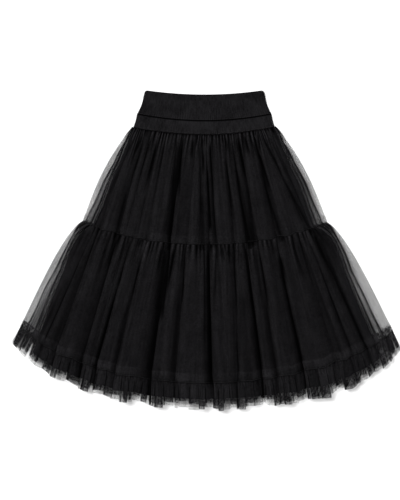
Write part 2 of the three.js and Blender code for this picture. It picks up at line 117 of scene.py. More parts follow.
# Creases in the front of the tulle: where each starts and ends, across and down the skirt, how far
# it spreads to each side and how dark and deep it is, and the shares of its length where it is whole.
# Each crease's darkness is painted shade in the cloth's tone, and its depth also dips the front tulle into it.
CREASES = [
    {"from": (-0.9, 2.02), "to": (-0.872, 3.05), "wide": 4, "deep": 0.45, "whole": (0.2, 0.9)},
    {"from": (-0.82, 2.03), "to": (-0.783, 2.36), "wide": 5.5, "deep": 0.7, "whole": (0.35, 0.4)},
    {"from": (-0.77, 2.04), "to": (-0.705, 2.55), "wide": 4.5, "deep": 0.6, "whole": (0.3, 0.5)},
    {"from": (-0.725, 2.5), "to": (-0.7, 3.05), "wide": 5.5, "deep": 0.6, "whole": (0.4, 0.9)},
    {"from": (-0.7, 2.02), "to": (-0.645, 2.6), "wide": 3.5, "deep": 0.45, "whole": (0.15, 0.5)},
    {"from": (-0.615, 2.02), "to": (-0.553, 2.62), "wide": 8, "deep": 0.8, "whole": (0.35, 0.5)},
    {"from": (-0.548, 2.55), "to": (-0.54, 3.02), "wide": 3, "deep": 0.35, "whole": (0.2, 0.8)},
    {"from": (-0.515, 2.02), "to": (-0.462, 2.75), "wide": 6.5, "deep": 0.6, "whole": (0.2, 0.3)},
    {"from": (-0.38, 2.01), "to": (-0.3, 2.75), "wide": 4, "deep": 0.5, "whole": (0.1, 0.5)},
    {"from": (-0.335, 2.01), "to": (-0.3, 3.0), "wide": 11, "deep": 0.5, "whole": (0.15, 0.9)},
    {"from": (-0.29, 2.02), "to": (-0.245, 2.65), "wide": 6, "deep": 0.75, "whole": (0.25, 0.6)},
    {"from": (-0.27, 2.5), "to": (-0.275, 3.05), "wide": 6, "deep": 0.8, "whole": (0.3, 1)},
    {"from": (-0.158, 2.01), "to": (-0.15, 2.26), "wide": 5, "deep": 0.75, "whole": (0.3, 0.45)},
    {"from": (-0.165, 2.12), "to": (-0.215, 3.02), "wide": 13, "deep": 0.28, "whole": (0.3, 0.9)},
    {"from": (-0.098, 2), "to": (-0.092, 2.12), "wide": 4, "deep": 0.7, "whole": (0.4, 0.5)},
    {"from": (-0.07, 2.05), "to": (-0.03, 2.85), "wide": 4.5, "deep": 0.5, "whole": (0.2, 0.6)},
    {"from": (-0.034, 1.98), "to": (-0.008, 2.42), "wide": 4.5, "deep": 0.92, "whole": (0.2, 0.5)},
    {"from": (-0.025, 2.4), "to": (-0.01, 3.05), "wide": 10, "deep": 0.55, "whole": (0.4, 0.95)},
    {"from": (0.032, 1.98), "to": (0.03, 2.12), "wide": 3.5, "deep": 0.8, "whole": (0.3, 0.6)},
    {"from": (0.015, 2.08), "to": (0.052, 2.9), "wide": 4.5, "deep": 0.85, "whole": (0.2, 0.9)},
    {"from": (0.063, 2.04), "to": (0.092, 2.62), "wide": 6.5, "deep": 0.92, "whole": (0.2, 0.45)},
    {"from": (0.078, 2.35), "to": (0.082, 3.05), "wide": 9, "deep": 0.55, "whole": (0.3, 0.9)},
    {"from": (0.24, 2), "to": (0.237, 2.1), "wide": 3.5, "deep": 0.55, "whole": (0.4, 0.5)},
    {"from": (0.29, 2.01), "to": (0.277, 2.2), "wide": 5, "deep": 0.65, "whole": (0.25, 0.4)},
    {"from": (0.245, 2.15), "to": (0.262, 2.95), "wide": 6, "deep": 0.68, "whole": (0.2, 0.4)},
    {"from": (0.37, 2.02), "to": (0.342, 2.6), "wide": 4, "deep": 0.6, "whole": (0.2, 0.7)},
    {"from": (0.335, 2.25), "to": (0.375, 3.05), "wide": 12, "deep": 0.48, "whole": (0.35, 0.95)},
    {"from": (0.325, 2.4), "to": (0.357, 3.05), "wide": 4, "deep": 0.65, "whole": (0.3, 1)},
    {"from": (0.455, 2.01), "to": (0.418, 2.58), "wide": 7, "deep": 0.92, "whole": (0.25, 0.5)},
    {"from": (0.42, 2.4), "to": (0.388, 3.05), "wide": 9, "deep": 0.55, "whole": (0.3, 0.9)},
    {"from": (0.55, 2.01), "to": (0.518, 2.25), "wide": 6, "deep": 0.75, "whole": (0.3, 0.5)},
    {"from": (0.615, 2.01), "to": (0.598, 2.25), "wide": 3.5, "deep": 0.45, "whole": (0.2, 0.6)},
    {"from": (0.75, 2.01), "to": (0.64, 2.22), "wide": 3.5, "deep": 0.55, "whole": (0.2, 0.8)},
    {"from": (0.645, 2.12), "to": (0.63, 2.75), "wide": 6, "deep": 0.9, "whole": (0.2, 0.4)},
    {"from": (0.6, 2.25), "to": (0.615, 3.05), "wide": 9, "deep": 0.42, "whole": (0.3, 0.9)},
    {"from": (0.583, 2.35), "to": (0.603, 3.05), "wide": 4, "deep": 0.6, "whole": (0.35, 0.95)},
    {"from": (0.765, 2.03), "to": (0.835, 3.05), "wide": 5.5, "deep": 0.65, "whole": (0.12, 0.95)},
    {"from": (0.85, 2.05), "to": (0.85, 2.72), "wide": 4, "deep": 0.5, "whole": (0.2, 0.5)},
    {"from": (-0.94, 3.01), "to": (-0.9, 3.5), "wide": 4.5, "deep": 0.5, "whole": (0.15, 0.3)},
    {"from": (-0.9, 3.02), "to": (-0.868, 3.35), "wide": 4.5, "deep": 0.6, "whole": (0.25, 0.5)},
    {"from": (-0.885, 3.45), "to": (-0.895, 4.1), "wide": 3.5, "deep": 0.5, "whole": (0.3, 0.9)},
    {"from": (-0.837, 3.01), "to": (-0.803, 3.4), "wide": 5.5, "deep": 0.75, "whole": (0.2, 0.35)},
    {"from": (-0.82, 3.3), "to": (-0.825, 4.05), "wide": 9, "deep": 0.3, "whole": (0.3, 0.95)},
    {"from": (-0.75, 3.02), "to": (-0.705, 3.55), "wide": 7, "deep": 0.42, "whole": (0.25, 0.3)},
    {"from": (-0.7, 3.01), "to": (-0.655, 3.3), "wide": 6, "deep": 0.7, "whole": (0.3, 0.6)},
    {"from": (-0.622, 3.01), "to": (-0.603, 3.42), "wide": 6, "deep": 0.5, "whole": (0.2, 0.3)},
    {"from": (-0.592, 3.01), "to": (-0.56, 3.4), "wide": 4, "deep": 0.6, "whole": (0.2, 0.8)},
    {"from": (-0.565, 3.35), "to": (-0.59, 4.1), "wide": 8, "deep": 0.75, "whole": (0.3, 1)},
    {"from": (-0.615, 3.3), "to": (-0.62, 4.05), "wide": 11, "deep": 0.3, "whole": (0.3, 0.95)},
    {"from": (-0.512, 2.99), "to": (-0.508, 3.08), "wide": 4, "deep": 0.55, "whole": (0.3, 0.4)},
    {"from": (-0.485, 3.02), "to": (-0.465, 3.55), "wide": 3.5, "deep": 0.6, "whole": (0.4, 0.6)},
    {"from": (-0.475, 3.35), "to": (-0.492, 4.05), "wide": 7, "deep": 0.42, "whole": (0.3, 0.95)},
    {"from": (-0.345, 3.01), "to": (-0.322, 3.3), "wide": 5, "deep": 0.65, "whole": (0.25, 0.4)},
    {"from": (-0.305, 3.03), "to": (-0.3, 4.05), "wide": 13, "deep": 0.52, "whole": (0.12, 0.95)},
    {"from": (-0.237, 3.01), "to": (-0.25, 3.42), "wide": 6, "deep": 0.9, "whole": (0.2, 0.45)},
    {"from": (-0.27, 3), "to": (-0.265, 3.6), "wide": 4, "deep": 0.8, "whole": (0.1, 0.8)},
    {"from": (-0.15, 3.01), "to": (-0.137, 3.5), "wide": 3.5, "deep": 0.75, "whole": (0.2, 0.5)},
    {"from": (-0.17, 3.2), "to": (-0.172, 4.05), "wide": 9, "deep": 0.42, "whole": (0.4, 0.95)},
    {"from": (-0.06, 3), "to": (-0.065, 3.12), "wide": 3, "deep": 0.4, "whole": (0.3, 0.4)},
    {"from": (-0.004, 3), "to": (0, 4.05), "wide": 3, "deep": 0.6, "whole": (0.05, 0.5)},
    {"from": (0.03, 3), "to": (0.034, 4.1), "wide": 10, "deep": 0.82, "whole": (0.1, 1)},
    {"from": (0.09, 3.02), "to": (0.062, 3.5), "wide": 3.5, "deep": 0.6, "whole": (0.15, 0.5)},
    {"from": (0.142, 2.99), "to": (0.138, 3.14), "wide": 4, "deep": 0.6, "whole": (0.3, 0.4)},
    {"from": (0.186, 3), "to": (0.182, 3.16), "wide": 4.5, "deep": 0.5, "whole": (0.3, 0.4)},
    {"from": (0.225, 3.03), "to": (0.203, 3.6), "wide": 5, "deep": 0.75, "whole": (0.2, 0.35)},
    {"from": (0.245, 3.25), "to": (0.24, 4.05), "wide": 15, "deep": 0.28, "whole": (0.4, 0.95)},
    {"from": (0.19, 3.55), "to": (0.184, 4.1), "wide": 3.5, "deep": 0.6, "whole": (0.5, 1)},
    {"from": (0.312, 3.01), "to": (0.302, 3.6), "wide": 3.5, "deep": 0.7, "whole": (0.1, 0.6)},
    {"from": (0.33, 3.01), "to": (0.31, 4.1), "wide": 7, "deep": 0.72, "whole": (0.08, 0.9)},
    {"from": (0.395, 3.01), "to": (0.36, 3.6), "wide": 8, "deep": 0.42, "whole": (0.2, 0.5)},
    {"from": (0.425, 3.03), "to": (0.4, 3.6), "wide": 5.5, "deep": 0.65, "whole": (0.2, 0.4)},
    {"from": (0.382, 3.3), "to": (0.382, 4.05), "wide": 10, "deep": 0.42, "whole": (0.4, 0.95)},
    {"from": (0.572, 3.01), "to": (0.548, 3.4), "wide": 4, "deep": 0.7, "whole": (0.15, 0.4)},
    {"from": (0.548, 3.08), "to": (0.53, 4.1), "wide": 8, "deep": 0.7, "whole": (0.15, 0.95)},
    {"from": (0.682, 3.01), "to": (0.655, 3.42), "wide": 6, "deep": 0.6, "whole": (0.2, 0.3)},
    {"from": (0.745, 3.02), "to": (0.735, 4.05), "wide": 8, "deep": 0.42, "whole": (0.1, 0.9)},
    {"from": (0.805, 3.03), "to": (0.79, 4.05), "wide": 5, "deep": 0.52, "whole": (0.2, 0.9)},
    {"from": (0.855, 3.01), "to": (0.825, 3.4), "wide": 5.5, "deep": 0.75, "whole": (0.2, 0.4)},
    {"from": (0.88, 3.03), "to": (0.848, 3.6), "wide": 4.5, "deep": 0.7, "whole": (0.2, 0.6)},
    {"from": (0.846, 3.4), "to": (0.862, 4.05), "wide": 6, "deep": 0.6, "whole": (0.3, 0.95)},
    {"from": (0.915, 3.02), "to": (0.9, 3.25), "wide": 4.5, "deep": 0.45, "whole": (0.2, 0.4)},
]

# Layers, as heights above the surface under the middle of the skirt.
BACK_TULLE_BASE = 0.6
BACK_LINING_BASE = 2.8
FRONT_TULLE_BASE = 7.4
LINING_BELOW_TULLE = 1.3
LINING_HEM = 4.6
EDGE_LAYER = 1.9

# Cuts: how wide each strip is before it is gathered, for the front or the back alone, and how deep with its seams.
UPPER_CUT, UPPER_DEPTH = 0.68, 0.285
LOWER_CUT, LOWER_DEPTH = 1.1, 0.36
RUFFLE_CUT, RUFFLE_DEPTH = 1.75, 0.07
LINING_CUT, LINING_DEPTH = 0.86, 0.67

# One layer of net hides this share of what is behind it.
NET_COVER = 0.3

# How far the tulle stands off the cloth under it between its creases, and how fast its painted shade
# darkens into them.
FULLNESS = 3.2
HOLLOW_PAINTED_SHADE = 1.4


def read(rows, column, at):
    """A column of a table at a place down the skirt, straight between its rows."""
    return np.interp(at, [row["at"] for row in rows], [row[column] for row in rows])


def smooth(low, high, value):
    """0 below low, 1 above high, and a soft step between them."""
    share = np.clip((value - low) / (high - low), 0, 1)
    return share * share * (3 - 2 * share)


def mix(a, b, share):
    return a + (b - a) * share


def outline_column(name, side, at):
    """A column of the outline at places down the skirt, on the left where side is under 0."""
    values = [row[name][0 if side < 0 else 1] for row in OUTLINE]
    return np.interp(at, range(len(OUTLINE)), values)


def half_width(side, at):
    """Half the skirt's width, in metres."""
    row = np.minimum(np.floor(at).astype(int), len(OUTLINE) - 2)
    share = np.maximum(at - row, 0)
    bulge = np.array([entry["bulge"] for entry in OUTLINE])[row]
    early = np.array([entry["early"] for entry in OUTLINE], float)[row]
    swell = bulge * np.sin(math.pi * np.minimum(share, 1) ** early)
    return (outline_column("half", side, at) + swell) * MM


def read_side(column, across, at):
    """A column of SECTIONS that has a left and a right value, for points across and down the skirt."""
    places = [row["at"] for row in SECTIONS]
    left, right = [np.interp(at, places, [row[column][side] for row in SECTIONS]) for side in (0, 1)]
    return np.where(across < 0, left, right)


def lining_share(across, at):
    """How far out the lining reaches, as a share of half the width."""
    half = np.where(across < 0, half_width(-1, at), half_width(1, at))
    return 1 - read_side("veil", across, at) * MM / half


# Where the middle of the waist edge lies in the frame, found from the waistband's box.
waistband_low, waistband_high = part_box("waistband_front")
CENTRE_X = waistband_low.x + half_width(-1, np.array([1.0]))[0]
SEAM_ROOM = 0.2 * MM
WAIST_Y = waistband_low.y + OUTLINE[BAND_SEAM]["drop"] * MM - SEAM_ROOM


def place_of(across, at):
    """The place on the surface of points across, from -1 to 1, and down the skirt."""
    left = across < 0
    half = np.where(left, half_width(-1, at), half_width(1, at))
    rise = np.where(left, outline_column("rise", -1, at), outline_column("rise", 1, at))
    late = np.where(left, outline_column("late", -1, at), outline_column("late", 1, at))
    curve = (1 - late) * across ** 2 + late * across ** 6
    drop = np.interp(at, range(len(OUTLINE)), [row["drop"] for row in OUTLINE])
    return CENTRE_X + across * half, WAIST_Y + (rise * curve - drop) * MM


def trough_line(trough, at):
    """Where a trough crosses each place down the skirt: it runs straight from seam to seam."""
    marks = []
    for place in at:
        if place >= HEM_SEAM:
            marks.append(trough["hem"])
            continue
        upper = place < TIER_SEAM
        seam = GATHER_SEAM if upper else TIER_SEAM
        start, end = (trough["gathers"], trough["tiers"]) if upper else (trough["tiers"], trough["hem"])
        start_x = start * half_width(start, np.array([float(seam)]))[0]
        end_x = end * half_width(end, np.array([seam + 1.0]))[0]
        straight = mix(start_x, end_x, max(place - seam, 0))
        marks.append(straight / half_width(straight, np.array([place]))[0])
    return np.array(marks)


def fold_lines(at):
    """The lines that bound the side of the skirt, its main folds and its other side, one row for each."""
    side = np.ones_like(at)
    troughs = [trough_line(trough, at) for trough in TROUGHS]
    return np.array([-side, -lining_share(-side, at), *troughs, lining_share(side, at), side])


def trough_level(end, lower_crest, at):
    depth = mix(end["upper"], end["lower"], smooth(TIER_SEAM - 0.3, TIER_SEAM + 0.2, at))
    return (1 - depth) * lower_crest


class Columns:
    """Lines of points down a panel. Each is a share of the way across one fold."""

    def __init__(self, seam, spacing, first=0, last=None, side_spacing=0.5):
        seam = np.array([float(seam)])
        lines = fold_lines(seam)[:, 0]
        bounds = lines * np.where(lines < 0, half_width(-1, seam), half_width(1, seam))
        last = len(bounds) - 1 if last is None else last
        spacings = [side_spacing if fold in (0, len(bounds) - 2) else spacing for fold in range(first, last)]
        steps = [max(2, round((bounds[first + i + 1] - bounds[first + i]) / (each * MM)))
                 for i, each in enumerate(spacings)]
        runs = [np.linspace(bounds[first + i], bounds[first + i + 1], count, endpoint=False)
                for i, count in enumerate(steps)]
        self.x = np.concatenate([*runs, [bounds[last]]])
        self.fold = np.clip(np.searchsorted(bounds, self.x, side="right") - 1, first, last - 1)
        width = bounds[self.fold + 1] - bounds[self.fold]
        self.share = (self.x - bounds[self.fold]) / width
        self.rise = np.clip(RISE_WIDTH * MM / width, 0.08, 0.4)

    def along(self, cut):
        """How far each column is along the strip before it was gathered."""
        return (self.x - self.x[0]) / (self.x[-1] - self.x[0]) * cut


def fold_form(columns, at):
    """How high each point stands on the main folds, and how high the trough line under it is."""
    last_fold = len(FOLD_ENDS) - 2
    height = np.zeros((len(at), len(columns.x)))
    floor = np.zeros_like(height)
    for fold in range(-1, last_fold + 2):
        here = columns.fold == fold + 1
        share = columns.share[here][None, :]
        near = min(max(fold, 0), last_fold)
        crest = FOLD_ENDS[near]["crest"]
        beside = [min(crest, FOLD_ENDS[max(near - 1, 0)]["crest"]), min(crest, FOLD_ENDS[near + 1]["crest"])]
        left = trough_level(FOLD_ENDS[near], beside[0], at)[:, None]
        right = trough_level(FOLD_ENDS[near + 1], beside[1], at)[:, None]
        if fold < 0:
            height[:, here] = floor[:, here] = share * left
            continue
        if fold > last_fold:
            height[:, here] = floor[:, here] = (1 - share) * right
            continue
        rise = columns.rise[here][None, :]
        up = np.sin(np.clip(share / rise, 0, 1) * math.pi / 2)
        down = 1 - np.clip((share - rise) / (1 - rise), 0, 1) ** ROLL_OFF
        height[:, here] = np.where(share < rise, mix(left, crest, up), mix(right, crest, down))
        floor[:, here] = mix(left, right, share)
    return height, floor


def trough_shade(columns, at):
    """Painted shade of the main folds: 1 on their crests and at the sides, falling towards 0 in the deepest
    troughs.
    """
    height, floor = fold_form(columns, at)
    inside = (columns.fold > 0) & (columns.fold < len(FOLD_ENDS))
    near = np.clip(columns.fold - 1, 0, len(FOLD_ENDS) - 2)
    crest = np.array([end["crest"] for end in FOLD_ENDS])[near]
    hollow = np.clip(1 - height / crest, 0, 1) * inside * smooth(GATHER_SEAM, 2.2, at)[:, None]
    return 1 - 0.95 * (0.45 * hollow + 0.55 * hollow ** 3)


def side_round(across, at):
    """1 over the lining, falling in a quarter round to 0 at the side of the skirt."""
    start = lining_share(across, at[:, None]) + 0.003
    past = np.maximum(0, np.abs(across) - start) / (1 - start)
    return np.sqrt(np.maximum(0, 1 - past * past))


def fold_surface(columns, at, base, edge, follow=1.0):
    """The main folds as points [row, column] and across. base is the height of the troughs over the lining, edge
    the height at the side of the skirt, and follow how closely the cloth follows the folds."""
    lines = fold_lines(at)
    across = mix(lines[columns.fold], lines[columns.fold + 1], columns.share[:, None]).T
    x, y = place_of(across, at[:, None])
    height, floor = fold_form(columns, at)
    rise = read(SECTIONS, "fold", at)[:, None] * follow
    lifted = read(SECTIONS, "ridge", at)[:, None] * (follow > 0)
    middle = base + lifted + rise * height
    z = mix(edge, middle, side_round(across, at)) * MM
    x = x - LEAN * rise * (height - floor) * MM
    turning = np.where(columns.share < TURN_START, 1 - 2 * columns.share / TURN_START,
                       2 * (columns.share - TURN_START) / (1 - TURN_START) - 1)
    inside = (columns.fold > 0) & (columns.fold < len(lines) - 2)
    width = (lines[columns.fold + 1] - lines[columns.fold]).T * half_width(1, at)[:, None]
    turn = SEAM_TURN * follow * width * turning * inside * np.clip(at - GATHER_SEAM, 0, 1)[:, None]
    return np.stack([x, y + across * turn, z], axis=-1), across


def normals_of(points):
    """The upward normal at each point of a grid of points, with row 0 at the waist end."""
    down = np.gradient(points, axis=0)
    right = np.gradient(points, axis=1)
    normal = np.cross(down, right)
    return normal / np.maximum(np.linalg.norm(normal, axis=-1, keepdims=True), 1e-9)


class Gathers:
    """Uneven gathers along a seam: which gather each column is in, and how far across it."""

    def __init__(self, columns, pitch, seed):
        self.random = np.random.default_rng(seed)
        length = columns.x[-1] - columns.x[0]
        count = int(length / (pitch * MM)) + 2
        steps = self.random.uniform(0.6, 1.4, count)
        edges = columns.x[0] + length * np.concatenate([[0], np.cumsum(steps) / steps.sum()])
        self.count = count
        self.index = np.clip(np.searchsorted(edges, columns.x, side="right") - 1, 0, count - 1)
        start, end = edges[self.index], edges[self.index + 1]
        self.share = np.clip((columns.x - start) / (end - start), 0, 1)
        self.middle = np.minimum(np.searchsorted(columns.x, (start + end) / 2), len(columns.x) - 1)

    def each(self, low, high):
        """A value between low and high for each gather, read at every column."""
        return self.random.uniform(low, high, self.count)[self.index]

    def ridge(self, skew=0.8, roundness=1.3):
        """0 between gathers and 1 on them, with a rounded top and a narrow trough."""
        return 1 - np.abs(2 * self.share ** skew - 1) ** roundness


def cloth_piece(name, points, along, down, cover, tone, material):
    """A sheet on a grid of points. Its cloth attribute holds how far a point lies along and down the cut, in
    metres, and how close the cloth is there. Its tone attribute holds the cloth's tone with painted shade,
    0 in the darkest hollow, and painted highlights."""
    rows, count = points.shape[:2]
    form = bmesh.new()
    bmesh.ops.create_grid(form, x_segments=count - 1, y_segments=rows - 1, size=0.5, calc_uvs=True)
    mesh = bpy.data.meshes.new(name)
    form.loops.layers.uv.verify()
    form.to_mesh(mesh)
    form.free()
    flat = np.empty(len(mesh.vertices) * 3)
    mesh.vertices.foreach_get("co", flat)
    flat = flat.reshape(-1, 3)
    column = np.rint((flat[:, 0] + 0.5) * (count - 1)).astype(int)
    row = np.rint((0.5 - flat[:, 1]) * (rows - 1)).astype(int)
    mesh.vertices.foreach_set("co", points[row, column].ravel())
    values = np.stack([along[column], down[row], np.broadcast_to(cover, (rows, count))[row, column]], axis=-1)
    mesh.attributes.new("cloth", "FLOAT_VECTOR", "POINT").data.foreach_set("vector", values.ravel())
    tones = np.broadcast_to(tone, (rows, count))[row, column]
    mesh.attributes.new("tone", "FLOAT", "POINT").data.foreach_set("value", tones)
    mesh.polygons.foreach_set("use_smooth", np.ones(len(mesh.polygons), bool))
    mesh.update()
    piece = bpy.data.objects.new(name, mesh)
    bpy.context.collection.objects.link(piece)
    mesh.materials.append(material)
    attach(piece, "root")
    return piece


class Socket:
    """A shader value that can be written into sums."""

    def __init__(self, paint, link):
        self.paint = paint
        self.link = link

    def maths(self, operation, *values):
        return self.paint.node("ShaderNodeMath", {"operation": operation}, values)

    def __add__(self, other):
        return self.maths("ADD", self, other)

    def __radd__(self, other):
        return self.maths("ADD", other, self)

    def __sub__(self, other):
        return self.maths("SUBTRACT", self, other)

    def __rsub__(self, other):
        return self.maths("SUBTRACT", other, self)

    def __mul__(self, other):
        return self.maths("MULTIPLY", self, other)

    def __rmul__(self, other):
        return self.maths("MULTIPLY", other, self)

    def __truediv__(self, other):
        return self.maths("DIVIDE", self, other)

    def __pow__(self, other):
        return self.maths("POWER", self, other)

    def __lt__(self, other):
        return self.maths("LESS_THAN", self, other)


class Paint:
    """A material and its nodes."""

    def __init__(self, name, **shader):
        self.material = bpy.data.materials.new(name)
        self.material.use_nodes = True
        self.nodes = self.material.node_tree.nodes
        self.links = self.material.node_tree.links
        self.shader = self.nodes["Principled BSDF"]
        for socket, value in shader.items():
            self.shader.inputs[socket.replace("_", " ")].default_value = value

    def node(self, kind, settings, values, output=0):
        node = self.nodes.new(kind)
        for setting, value in settings.items():
            setattr(node, setting, value)
        named = values.items() if isinstance(values, dict) else enumerate(values)
        for socket, value in named:
            if isinstance(value, Socket):
                self.links.new(value.link, node.inputs[socket])
            else:
                node.inputs[socket].default_value = value
        return Socket(self, node.outputs[output])

    def feed(self, socket, value):
        self.links.new(value.link, self.shader.inputs[socket])

    def cloth(self):
        """How far along and down the cut, in metres, how close the cloth is, and its tone, which
        carries painted shade and highlights.
        """
        attribute = self.node("ShaderNodeAttribute", {"attribute_name": "cloth"}, {}, "Vector")
        split = self.node("ShaderNodeSeparateXYZ", {}, [attribute])
        tone = self.node("ShaderNodeAttribute", {"attribute_name": "tone"}, {}, "Fac")
        return [*(Socket(self, output) for output in split.link.node.outputs), tone]

    def position(self):
        return self.node("ShaderNodeTexCoord", {}, {}, "Object")

    def noise(self, vector, scale, detail=2.0):
        return self.node("ShaderNodeTexNoise", {}, {"Vector": vector, "Scale": scale, "Detail": detail}, "Fac")

    def sine(self, value):
        return value.maths("SINE", value)

    def shades(self, dark, light, share):
        """A mix of two greys by a share."""
        settings = {"data_type": "RGBA"}
        mixed = self.node("ShaderNodeMix", settings, {0: share, 6: (*dark, 1), 7: (*light, 1)}, 2)
        self.feed("Base Color", mixed)

    def bump(self, height, strength, distance):
        values = {"Height": height, "Strength": strength, "Distance": distance}
        self.feed("Normal", self.node("ShaderNodeBump", {}, values, "Normal"))


NET_PITCH = 1.5 * MM


def hexagon_distance(paint, along, down):
    """How far a point is from the middle of its cell of a net of hexagons, 0.5 at the cell's edge."""
    high = math.sqrt(3)

    def cell(shift):
        x = along.maths("FLOORED_MODULO", along + shift, 1.0) - 0.5
        y = down.maths("FLOORED_MODULO", down + shift * high, high) - high / 2
        return x, y, x * x + y * y

    first_x, first_y, first = cell(0.0)
    second_x, second_y, second = cell(0.5)
    near = first < second
    x = second_x + near * (first_x - second_x)
    y = second_y + near * (first_y - second_y)
    flat = x.maths("ABSOLUTE", x)
    slanted = flat * 0.5 + y.maths("ABSOLUTE", y) * (high / 2)
    return flat.maths("MAXIMUM", flat, slanted)


def grey(level):
    """A near black with the faint plum cast of the dye."""
    return (1.04 * level, level, 1.09 * level)


# The tone of even knit and of even net, as a share of the way from its darkest to its lightest grey.
EVEN_TONE = 0.7
EVEN_NET = 0.56


def tulle_material():
    """Fine black net of hexagons, closer where it is gathered, streaked along the gathers, with painted shade
    in hollows and grooves and painted highlights on gather rounds, carried by the tone attribute.
    """
    paint = Paint("tulle", Roughness=0.9, Specular_IOR_Level=0.004)
    along, down, cover, tone = paint.cloth()
    distance = hexagon_distance(paint, along / NET_PITCH, down / NET_PITCH)
    grain = paint.noise(paint.position(), 300.0)
    opening = 0.5 * (1 - cover * (0.85 + grain * 0.3)) ** 0.5
    paint.feed("Alpha", 1 - (distance < opening))
    strands = paint.noise(paint.node("ShaderNodeCombineXYZ", {}, [along * 130.0, down * 9.0, 0.0]), 1.0)
    broad = paint.noise(paint.position(), 45.0)
    share = tone * (EVEN_NET + 0.8 * (strands - 0.5) + 0.95 * (grain - 0.5) + 0.35 * (broad - 0.5))
    paint.shades(grey(0.0002), grey(0.0165), share)
    return paint.material


def lining_material():
    """Matte plain weave, with painted shade in the troughs and creases, carried by the tone attribute."""
    paint = Paint("lining_cloth", Roughness=0.9, Specular_IOR_Level=0.004)
    along, down, cover, tone = paint.cloth()
    thread = 0.7 * MM
    weave = paint.sine(along * (2 * math.pi / thread)) * paint.sine(down * (2 * math.pi / thread))
    blotches = paint.noise(paint.position(), 90.0, 4.0)
    paint.shades(grey(0.0002), grey(0.0075), tone * (0.4 + blotches * 0.7))
    paint.bump(weave + blotches, 0.35, 0.15 * MM)
    return paint.material


def knit_material():
    """Fine ribbed knit: upright wales crossed by rows of stitches, with a little lint."""
    paint = Paint("ribbed_knit", Roughness=0.9, Specular_IOR_Level=0.012)
    along, down, cover, tone = paint.cloth()
    wale = 1.9 * MM
    course = 1.4 * MM
    rib = paint.sine(along * (2 * math.pi / wale))
    slant = rib.maths("ABSOLUTE", rib) * 1.2
    stitch = paint.sine(down * (2 * math.pi / course) + slant)
    lint = paint.noise(paint.position(), 420.0, 3.0)
    runs = paint.noise(paint.node("ShaderNodeCombineXYZ", {}, [along * 420.0, down * 60.0, 0.0]), 1.0)
    patches = paint.noise(paint.position(), 30.0)
    share = EVEN_TONE + 0.12 * rib + 1.2 * (lint - 0.5) + 1.4 * (runs - 0.5) + 1.1 * (patches - 0.5)
    # The tone attribute brings painted shade along each band's turned edges and painted light and shade on its
    # puckers.
    paint.shades(grey(0.0006), grey(0.0117), tone * share)
    paint.bump(rib * 0.7 + stitch * 0.3, 0.6, 0.35 * MM)
    return paint.material


def thread_material():
    """Black sewing thread, twisted from two strands."""
    paint = Paint("sewing_thread", Roughness=0.5, Specular_IOR_Level=0.3)
    strands = paint.node("ShaderNodeTexWave", {}, {"Vector": paint.position(), "Scale": 900.0}, "Fac")
    paint.shades(grey(0.004), grey(0.012), strands)
    return paint.material


TULLE = tulle_material()
LINING = lining_material()
KNIT = knit_material()
THREAD = thread_material()


def stations(*stretches):
    """Places down the skirt, each stretch given by its start, its end and the number of steps in it."""
    places = [np.linspace(start, end, steps, endpoint=False) for start, end, steps in stretches]
    return np.concatenate([*places, [stretches[-1][1]]])


def depth_of(at):
    """How far down the middle of the skirt a place is, in metres."""
    return np.interp(at, range(len(OUTLINE)), [row["drop"] for row in OUTLINE]) * MM


def puffed(points, lift):
    """Points moved out from the cloth under them by lift, in millimetres."""
    return points + normals_of(points) * lift[..., None] * MM


def past(at, seam):
    """How far places lie below a seam, as a column."""
    return np.maximum(at - seam, 0)[:, None]


def streaks(columns, pitch, seed):
    """Fine uneven streaks along the cloth, from 0 to 1, one value for each column."""
    random = np.random.default_rng(seed)
    knots = np.arange(columns.x[0], columns.x[-1] + pitch * MM, pitch * MM)
    return np.interp(columns.x, knots, random.uniform(0, 1, len(knots)))


def crumples(columns, at, size, seed):
    """Uneven patches from 0 to 1, about size millimetres across."""
    random = np.random.default_rng(seed)
    across = (columns.x - columns.x[0]) / (size * MM)
    down = (depth_of(at) - depth_of(at[0])) / (size * MM)
    cells = random.uniform(0, 1, (int(down[-1]) + 2, int(across[-1]) + 2))
    rows = np.array([np.interp(across, range(cells.shape[1]), row) for row in cells])
    above = np.minimum(down.astype(int), len(rows) - 2)
    return mix(rows[above], rows[above + 1], smooth(0, 1, down - above)[:, None])


# A crease deepens slowly from its left, and the cloth rises steeply on its right. Its painted shade
# darkens slowly from the left and ends sharply on the right, as light from the upper left would fall.
CREASE_LEFT, CREASE_RIGHT = 1.25, 0.5


def crease_shade(points):
    """Painted shade of the creases: 1 where the cloth is whole, falling to 0 in the deepest creases."""
    shade = np.ones(points.shape[:2])
    for crease in CREASES:
        start, end = [np.concatenate(place_of(np.array([across]), np.array([float(at)])))
                      for across, at in (crease["from"], crease["to"])]
        length = math.dist(start, end)
        run = (end - start) / length
        away = points[..., :2] - start
        along = away @ run / length
        side = (away[..., 1] * run[0] - away[..., 0] * run[1]) / MM
        wide = crease["wide"] * (0.5 + 0.5 * np.clip(along, 0, 1))
        wide = wide * np.where(side < 0, CREASE_LEFT, CREASE_RIGHT)
        grown, fading = crease["whole"]
        strength = smooth(0, grown, along) * (1 - smooth(fading, 1.001, along))
        shade *= 1 - crease["deep"] * strength * np.exp(-(side / wide) ** 2)
    return shade


# How light the painted highlight on the rounds of the gathers is, for how dark the painted shade in their
# grooves is.
ROUND_PAINTED_HIGHLIGHT = 0.38


